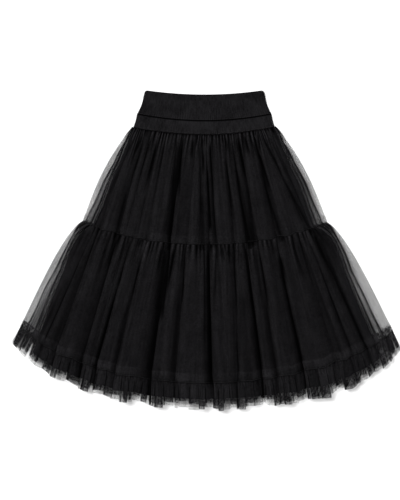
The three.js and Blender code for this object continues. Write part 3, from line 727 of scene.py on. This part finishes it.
def gather(columns, below, pitch, seed, height, reach, dark):
    """Gathers that start at a seam and run out unevenly: how high they lift the cloth, and their painted shade
    and highlights, dark in the grooves and light on the rounds."""
    gathers = Gathers(columns, pitch, seed)
    high = gathers.each(*height)
    run_out = np.exp(-(below / gathers.each(*reach)) ** 1.5) * smooth(0, 0.006, below)
    groove = 1 - gathers.ridge()
    painted_contrast = dark * high / height[1] * (ROUND_PAINTED_HIGHLIGHT * (1 - groove) - groove)
    return high * (1 - groove) * run_out, 1 + painted_contrast * run_out


def seam_shade(at, seam, wide, deep):
    """The painted shadow line along a seam, as wide and as deep as it is given."""
    return 1 - deep * np.exp(-((at - seam) / wide) ** 2)[:, None]


def past_lining(across, at):
    """How far a point lies past the lining: 0 at its edge, and 1 at the side of the skirt."""
    lining = lining_share(across, at[:, None])
    return np.clip((np.abs(across) - lining) / (1 - lining), 0, 1)


# Lines in the net past the lining: how far out each lies, as a share of the way to the single layer, how wide it is
# in millimetres, and how many layers it adds, or takes away where it is light. Near the lining the net lies in
# INNER more layers. The single layer is a little thinner on the right.
VEIL_LINES = [(0.16, 0.9, -3.5), (0.37, 1.3, 9.0), (0.76, 1.2, 3.0), (0.92, 1.4, 8.0)]
INNER = 5.2
VEIL = (0.98, 0.92)


def single_layer(across):
    """How close the single layer of net at the side is, in layers."""
    return np.where(across < 0, *VEIL)


def veil_cover(columns, across, at, layers, bunched=0.0, seed=0):
    """How close the net is. Over the lining it lies in several layers. Past it they end one after another, in dark
    lines, until a single layer is left. Near a seam it is bunched."""
    out = past_lining(across, at)
    down = at[:, None]
    veil = read_side("veil", across, down)
    pale = veil - read_side("pale", across, down) + 0.6 * np.sin(down * 19 + seed)
    from_lining = out * veil
    lines = sum(more * np.exp(-((from_lining - place * pale) / wide) ** 2) for place, wide, more in VEIL_LINES)
    inner = INNER * (1 - smooth(0.32, 0.38, from_lining / pale)) + 1.2 * (streaks(columns, 1.9, seed) - 0.5)
    inner = read(SECTIONS, "net", at)[:, None] + inner + lines
    net = mix(inner, single_layer(across) + 0.4 * smooth(0.93, 1, out), smooth(-0.6, 0.6, from_lining - pale))
    return 1 - (1 - NET_COVER) ** np.maximum(np.where(out > 0, net, layers) + bunched, 0.4)


def lap_over(at, seam, rise):
    """A panel lies over the heading below it, and dips to the seam."""
    return (rise * smooth(seam - 0.1, seam - 0.05, at) - 0.8 * rise * smooth(seam - 0.02, seam, at))[:, None]


# The stitches: how long each is, how far the next one starts, how thick the thread is and how much of it stands out.
STITCH = 2.4 * MM
STITCH_PITCH = 3.6 * MM
THREAD_WIDTH = 0.55 * MM
THREAD_OUT = 0.15 * MM


def sew(name, points, at, seam):
    """A row of straight stitches across a panel, given its grid of points and its rows' places down the skirt."""
    line = np.array([[np.interp(seam, at, points[:, column, axis]) for axis in range(3)]
                     for column in range(points.shape[1])])
    line[:, 2] += THREAD_OUT
    run = np.concatenate([[0], np.cumsum(np.linalg.norm(np.diff(line, axis=0), axis=1))])
    form = bmesh.new()
    for start in np.arange(STITCH_PITCH, run[-1] - STITCH_PITCH, STITCH_PITCH):
        near, far = [Vector([np.interp(place, run, line[:, axis]) for axis in range(3)])
                     for place in (start, start + STITCH)]
        turn = (far - near).to_track_quat("Z", "Y").to_matrix().to_4x4()
        bmesh.ops.create_cone(form, cap_ends=True, segments=6, radius1=THREAD_WIDTH / 2, radius2=THREAD_WIDTH / 2,
                              depth=STITCH, matrix=Matrix.Translation((near + far) / 2) @ turn)
    mesh = bpy.data.meshes.new(name)
    form.to_mesh(mesh)
    form.free()
    mesh.materials.append(THREAD)
    stitches = bpy.data.objects.new(name, mesh)
    bpy.context.collection.objects.link(stitches)
    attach(stitches, "root")


def tier_front(name, node, seam, seam_line, tones, columns, at, sets, bunched, layers, cut, seed):
    """A tier of the front: full between the creases, gathered at the seam above it, and lighter over the heading
    of the strip below it. seam_line is the width and depth of the painted shadow line along that seam, tones
    are how light the cloth is and how much lighter over the heading, and sets are its gathers, from fine to
    broad. Its shade is painted: darker in the creases, main troughs and gather grooves, and lighter on the
    gather rounds."""
    points, across = fold_surface(columns, at, FRONT_TULLE_BASE, EDGE_LAYER)
    below = past(at, seam)
    creased = crease_shade(points)
    fullness = FULLNESS * smooth(0, 0.07, below) * (1 - 0.85 * smooth(seam + 0.9, seam + 1, at)[:, None])
    lift = 0.3 + fullness * creased
    # Painted shade of the creases and the main troughs, then of the gather grooves, with painted highlights on their
    # rounds.
    shade = creased * trough_shade(columns, at)
    for number, (pitch, height, reach, dark) in enumerate(sets):
        rise, painted_gather_shade = gather(columns, below, pitch, seed + number, height, reach, dark)
        lift = lift + rise
        shade = shade * painted_gather_shade
    lift = lift * mix(0.2 * smooth(0, 0.3, below), 1, side_round(across, at)) + lap_over(at, seam + 1, 1.6)
    heading = smooth(seam + 0.925, seam + 0.932, at) * (1 - smooth(seam + 0.985, seam + 0.99, at))
    uneven = crumples(columns, at, 30, seed + 7)
    tone, lighter = tones
    shade = tone * np.maximum(shade, 0) ** HOLLOW_PAINTED_SHADE
    shade = shade * (1 + lighter * heading[:, None] * uneven) * (0.95 + 0.14 * uneven)
    # Painted shadow lines along the seam above and along the lapped edge at the seam below.
    shade = shade * seam_shade(at, seam, *seam_line)
    shade = shade * seam_shade(at, seam + 1, 0.005, 0.1 + 0.7 * crumples(columns, at, 5, seed + 8))
    cover = veil_cover(columns, across, at, layers, bunched, seed)
    points = puffed(points, lift)
    piece = cloth_piece(name, points, columns.along(cut), depth_of(at), cover, shade, TULLE)
    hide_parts(node)
    sew(name.replace("tulle", "stitches"), points, at, at[-1] - 0.006)


def upper_tier_front():
    columns = Columns(TIER_SEAM, 1.3)
    at = stations((1.93, 2.1, 20), (2.1, 2.86, 76), (2.86, 3.0, 22))
    sets = [(11, (0.9, 2.4), (0.05, 0.24), 1.7),
            (21, (0.6, 2.6), (0.06, 0.4), 0.9),
            (34, (0.2, 1.6), (0.5, 2), 0.25)]
    bunched = np.interp(at, [2, 2.06, 2.14, 2.99, 3], [4, 2.5, 0, 0, 2])[:, None]
    layers = np.interp(at, [2, 2.3, 3], [4, 3, 2.5])[:, None] + streaks(columns, 2.4, 31)
    return tier_front("tulle_upper_tier_front", "upper_tier_front", GATHER_SEAM, (0.014, 0.85), (0.93, 0.4), columns, at,
                      sets, bunched, layers, UPPER_CUT, seed=3)


def lower_tier_front():
    columns = Columns(TIER_SEAM, 1.1)
    at = stations((2.93, 3.0, 8), (3.0, 3.12, 26), (3.12, 3.88, 80), (3.88, 4.0, 22))
    sets = [(10.5, (0.9, 2.8), (0.04, 0.16), 1.4),
            (17, (0.4, 2.4), (0.08, 0.25), 0.45),
            (40, (0.1, 1.4), (0.3, 2), 0.25)]
    bunched = np.interp(at, [2.988, 2.995, 3.02, 3.06, 3.99, 4], [-9, 4, 2, 0, 0, 2])[:, None]
    layers = np.interp(at, [2.93, 3.1, 3.4, 4], [2.5, 4, 3, 2.5])[:, None] + streaks(columns, 2.2, 32)
    return tier_front("tulle_lower_tier_front", "lower_tier_front", TIER_SEAM, (0.005, 0.4), (0.83, 1.0), columns, at,
                      sets, bunched, layers, LOWER_CUT, seed=21)


# The ruffle's pleats: how wide each is, how far it laps its neighbours to both sides, or stands off them where that
# is under 0, how much of its end is a single layer, and how far the hem draws back at the main troughs. The back's
# pleats are drawn from the same seed, so they lie under the front's.
PLEAT = 18
PLEAT_SEED = 42
PLEAT_LAP = (-2.6, 3.5)
SINGLE_END = (0.1, 0.26)
DRAWN_BACK = 17


def ruffle(name, node, base, edge, follow, seed, spacing, height, full, short):
    """The ruffle: gathered at the seam, and opening into flat pleats that lap one another. Each ends square. Some
    are folded double nearly to the end, and the rest end in a single layer. It ends short millimetres higher than
    the outline."""
    columns = Columns(HEM_SEAM, spacing)
    at = stations((3.93, 4.0, 8), (4.0, 4.2, 10), (4.2, 4.7, 10), (4.7, 5.0, 18))
    points, across = fold_surface(columns, at, base, edge, follow)
    below = past(at, HEM_SEAM)
    round_side = mix(0.4, 1, side_round(across, at))
    pleats = Gathers(columns, PLEAT, PLEAT_SEED)
    tucks = Gathers(columns, 6.5, seed + 2)
    rise, shade = gather(columns, below, 7, seed, (0.5, 1.6), (0.08, 0.3), 0.8)
    opening = smooth(0, 0.3, below)
    lean = pleats.each(0.6, 1.2) * pleats.share
    lap = pleats.each(*PLEAT_LAP)
    points[..., 2] += (0.3 + rise + opening * (height * lean + 0.6 * tucks.ridge())) * round_side * MM
    inside = smooth(0, 0.06, 1 - np.abs(across))
    spread_out = np.where(lap < 0, below, opening) * lap * (2 * pleats.share - 1) * inside
    points[..., 0] += (spread_out + below * pleats.each(-2, 2)) * MM
    hollow = 1 - trough_shade(columns, at)[:, pleats.middle]
    whole = pleats.each(0, 1) < 0.52
    hung = np.where(whole, pleats.each(-1, 4), pleats.each(-6, 1)) - DRAWN_BACK * hollow - short
    points[..., 1] -= below ** 2 * hung * MM
    single = np.where(whole, pleats.each(-0.04, 0.01), pleats.each(*SINGLE_END)) + tucks.each(0, 0.025)
    doubled = smooth(-0.012, 0.012, RUFFLE_EDGE - single - at[:, None])
    out = past_lining(across, at)
    body = full * (0.45 + 1.1 * streaks(columns, 2.2, seed + 3))
    body = body + full * np.exp(-((pleats.share - 0.12) / 0.1) ** 2)
    points_out = Gathers(columns, 12, seed + 9)
    spread = smooth(-0.1, 0.1, points_out.each(0.75, 1.2) - 0.45 * below - np.abs(2 * points_out.share - 1))
    body = mix(body, mix(0.8, 1.5 * full, spread), smooth(0.1, 0.4, out))
    end_line = smooth(-0.035, -0.01, at - RUFFLE_EDGE)[:, None]
    layers = mix(full * (0.1 + 0.32 * streaks(columns, 1.7, seed + 5)) + end_line, body, doubled)
    lattice = 1.6 * full * smooth(0.48, 0.6, crumples(columns, at, 3, seed + 4))
    lattice = lattice + full * np.exp(-((at - HEM_SEAM) / 0.01) ** 2)[:, None]
    heading = (1 - smooth(HEM_SEAM, HEM_SEAM + 0.05, at))[:, None] * smooth(0, 0.25, out)
    slit = (lap < 0) * (np.abs(pleats.share - 0.5) > 0.47) * smooth(0.15, 0.35, below)
    cover = (1 - (1 - NET_COVER) ** mix(layers, lattice, heading)) * (1 - slit)
    # Painted shade along the lapped edge of each pleat and in the main troughs, and a painted shadow line along the
    # hem seam, over the gathers' painted shade and highlights; the pleats' and tucks' own tones differ at random.
    edges = 1 - 0.55 * opening * np.exp(-(pleats.share / 0.12) ** 2)
    shade = shade * edges * pleats.each(0.72, 1.12) * tucks.each(0.8, 1.1) * trough_shade(columns, at)
    shade = shade * seam_shade(at, HEM_SEAM, 0.025, 0.1 + 0.6 * crumples(columns, at, 6, seed + 6))
    piece = cloth_piece(name, points, columns.along(RUFFLE_CUT), depth_of(at), cover, shade, TULLE)
    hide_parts(node)
    return piece


def tier_back(name, node, seam, at, spacing, sets, cut, seed):
    """A tier of the back, which lies on the surface with low gathers under the lining."""
    columns = Columns(TIER_SEAM, spacing)
    points, across = fold_surface(columns, at, BACK_TULLE_BASE, BACK_TULLE_BASE, 0.0)
    below = past(at, seam)
    # Painted shade in the gather grooves and painted highlights on their rounds, over an even tone.
    shade = 0.8
    for number, (pitch, height, reach, dark) in enumerate(sets):
        rise, painted_gather_shade = gather(columns, below, pitch, seed + number, height, reach, dark)
        points[..., 2] += rise * MM
        shade = shade * painted_gather_shade
    layers = mix(2.2, single_layer(across), smooth(0, 0.1, past_lining(across, at)))
    layers = layers + 1.5 * np.exp(-((at - seam - 0.02) / 0.02) ** 2)[:, None]
    cover = 1 - (1 - NET_COVER) ** layers
    piece = cloth_piece(name, points, columns.along(cut), depth_of(at), cover, shade, TULLE)
    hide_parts(node)
    return piece


def lining(name, node, points, columns, at, shade, rests_on):
    piece = cloth_piece(name, points, columns.along(LINING_CUT), depth_of(at), 1.0, shade, LINING)
    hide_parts(node)
    return piece


def lining_front():
    columns = Columns(TIER_SEAM, 1.8, 1, len(FOLD_ENDS))
    at = stations((1.95, 2.1, 8), (2.1, 2.9, 44), (2.9, 3.1, 16), (3.1, LINING_HEM, 66))
    points, across = fold_surface(columns, at, FRONT_TULLE_BASE, EDGE_LAYER)
    # Painted shade of the creases and the main troughs.
    shade = crease_shade(points) * trough_shade(columns, at)
    points = puffed(points, np.full_like(across, -LINING_BELOW_TULLE))
    return lining("lining_cloth_front", "lining_front", points, columns, at, shade, ["lining_cloth_back"])


def lining_back():
    columns = Columns(TIER_SEAM, 5, 1, len(FOLD_ENDS))
    at = stations((1.95, 2.3, 10), (2.3, LINING_HEM, 60))
    points, across = fold_surface(columns, at, BACK_LINING_BASE, BACK_LINING_BASE, 0.0)
    waves = Gathers(columns, 60, seed=61)
    points[..., 2] -= waves.each(0, 1.2) * waves.ridge(1, 2) * smooth(2, 2.4, at)[:, None] * MM
    return lining("lining_cloth_back", "lining_back", points, columns, at, 0.7, ["floor"])


def even_steps(start, end, edge, steps):
    """Steps from start to end, with closer ones along both edges."""
    return np.concatenate([np.linspace(start, start + edge, 6)[:-1], np.linspace(start + edge, end - edge, steps),
                           np.linspace(end - edge, end, 6)[1:]])


# The bands: how far their ends are rounded at the waist, the pitch of the puckers along their lower edges, and how
# wide the painted shade along the turn of their edges is.
CORNER = 8
PUCKER = 5.4
SEWN_EDGE = 3.4 * MM


def band(name, node, top, levels, edge_levels, thickness, ripple, tone, wave=0.0):
    """A band of doubled rib knit with rounded edges. It rises over the gathers inside it, and its lower edge
    puckers where it is sewn. The gathers push that edge up and down by wave millimetres."""
    width = even_steps(-1, 1, 0.015, 260)
    at = even_steps(top, top + 1, 1 / 40, 44)
    x, y = place_of(width[None, :], np.minimum(at, GATHER_SEAM - 1e-6)[:, None])
    corner_start = 1 - CORNER / OUTLINE[0]["half"][0]
    past_corner = np.maximum(0, np.abs(width) - corner_start) / (1 - corner_start)
    y = y - CORNER * (1 - np.sqrt(1 - past_corner ** 2)) * MM * np.clip(1 - at / 0.25, 0, 1)[:, None]
    down = at - top
    level = np.interp(down, np.linspace(0, 1, len(levels)), levels)[:, None]
    edge_level = np.interp(down, np.linspace(0, 1, len(edge_levels)), edge_levels)[:, None]
    z = mix(level, edge_level, width ** 8)
    end_rim = np.clip((1 - np.abs(width)) / 0.012, 0, 1)
    long_rim = np.clip(np.minimum(down, 1 - down) / 0.035, 0, 1)[:, None]
    rim = np.sqrt(1 - (1 - end_rim) ** 2) * np.sqrt(1 - (1 - long_rim) ** 2)
    along = width * half_width(1, np.array([1.0]))[0]
    turns = along / MM * 2 * math.pi / PUCKER + 1.3 * np.sin(along / MM / 17)
    puckers = np.sin(turns) * (0.6 + 0.4 * np.sin(along / MM / 11))
    sewn = np.exp(-(1 - down) / 0.14)[:, None] * ripple
    z = z + thickness * rim + sewn * puckers * rim
    pushed = np.sin(along / MM / 3.1 + 2 * np.sin(along / MM / 13)) * (0.6 + 0.4 * np.sin(along / MM / 29))
    y = y + wave * pushed * smooth(0.5, 1, down)[:, None] * MM
    deep = (OUTLINE[top + 1]["drop"] - OUTLINE[top]["drop"]) * MM
    from_edge = np.minimum(down, 1 - down)[:, None] * deep / SEWN_EDGE
    # Painted shade along the turned edges, and painted light and shade on the puckers by their height.
    shade = tone * (0.05 + 0.95 * smooth(0.1, 1, from_edge)) * (1 + 1.8 * sewn * puckers)
    points = np.stack([x, y, z * MM], axis=-1)
    piece = cloth_piece(name, points, along - along[0], depth_of(at), 1.0, shade, KNIT)
    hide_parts(node)
    along[-1] - along[0]
    sew(name.replace("knit", "stitches"), points, at, at[-1] - 3 * MM / deep)
    return piece


def build_skirt():
    band("knit_waistband_back", "waistband_back", WAIST_EDGE, (0,), (0,), 3.0, 0.3, 0.8)
    band("knit_yoke_back", "yoke_back", BAND_SEAM, (0,), (0,), 2.2, 0.3, 0.9)
    lining_back()
    lining_front()
    lower_tier_front()
    upper_tier_front()
    ruffle("tulle_hem_ruffle_front", "hem_ruffle_front", FRONT_TULLE_BASE, EDGE_LAYER, 1.0, 41, 0.7, 4.6, 4.4, 0)
    ruffle("tulle_hem_ruffle_back", "hem_ruffle_back", BACK_TULLE_BASE, BACK_TULLE_BASE, 0.0, 71, 1.2, 3.4, 2.4, 5)
    tier_back("tulle_upper_tier_back", "upper_tier_back", GATHER_SEAM, stations((1.97, 3.0, 60)), 2.5,
              [(12, (0.4, 1.5), (0.1, 0.3), 0.4), (24, (0.3, 1.2), (1, 3), 0.3)], UPPER_CUT, 81)
    tier_back("tulle_lower_tier_back", "lower_tier_back", TIER_SEAM, stations((2.985, 4.0, 62)), 2.2,
              [(12, (0.4, 1.5), (0.1, 0.3), 0.4), (26, (0.3, 1.2), (1, 3), 0.3)], LOWER_CUT, 91)
    band("knit_yoke_front", "yoke_front", BAND_SEAM, (4.2, 4.8, 6.1), (3.4, 2.9, 2.5), 2.2, 0.35, 1.0,
         wave=1.1)
    band("knit_waistband_front", "waistband_front", WAIST_EDGE, (3.3, 3.6, 3.9), (3.3,), 3.0, 0.45, 0.85)


# The photo's frame: what a pixel spans, and the pixel over which the middle of the waist edge lies.
PIXEL = 2.5 * MM
CENTRE_PIXEL = (205, 94.6)


def studio_floor():
    """A wide white floor."""
    form = bmesh.new()
    bmesh.ops.create_grid(form, x_segments=1, y_segments=1, size=4)
    mesh = bpy.data.meshes.new("floor")
    form.to_mesh(mesh)
    form.free()
    floor = bpy.data.objects.new("floor", mesh)
    bpy.context.collection.objects.link(floor)
    paint = Paint("white_floor", Roughness=0.9, Specular_IOR_Level=0.1)
    paint.shades((0.92, 0.92, 0.92), (0.95, 0.95, 0.95), paint.noise(paint.position(), 3.0))
    mesh.materials.append(paint.material)


def studio_light():
    """Even white light, with a soft key light from the upper left."""
    world = bpy.data.worlds.new("studio")
    bpy.context.scene.world = world
    world.use_nodes = True
    world.node_tree.nodes["Background"].inputs["Color"].default_value = (1, 1, 1, 1)
    world.node_tree.nodes["Background"].inputs["Strength"].default_value = 0.55
    key = bpy.data.objects.new("key", bpy.data.lights.new("key", "SUN"))
    key.data.energy = 3.55
    key.data.angle = math.radians(26)
    key.location = (-1.2, 1, 2.6)
    key.rotation_euler = Vector((1.15, -0.95, -2.3)).to_track_quat("-Z", "Y").to_euler()
    bpy.context.collection.objects.link(key)


def camera_above():
    """A camera straight above the skirt, with the photo's frame."""
    lens = bpy.data.cameras.new("camera")
    distance = 4.0
    frame_height = 500 * PIXEL
    lens.sensor_width = 36
    lens.lens = lens.sensor_width * distance / frame_height
    camera = bpy.data.objects.new("camera", lens)
    x = CENTRE_X + (200 - CENTRE_PIXEL[0]) * PIXEL
    y = WAIST_Y - (250 - CENTRE_PIXEL[1]) * PIXEL
    camera.location = (x, y, distance)
    bpy.context.collection.objects.link(camera)
    bpy.context.scene.camera = camera
    bpy.context.scene.view_settings.view_transform = "Standard"


build_skirt()
studio_floor()
studio_light()
camera_above()
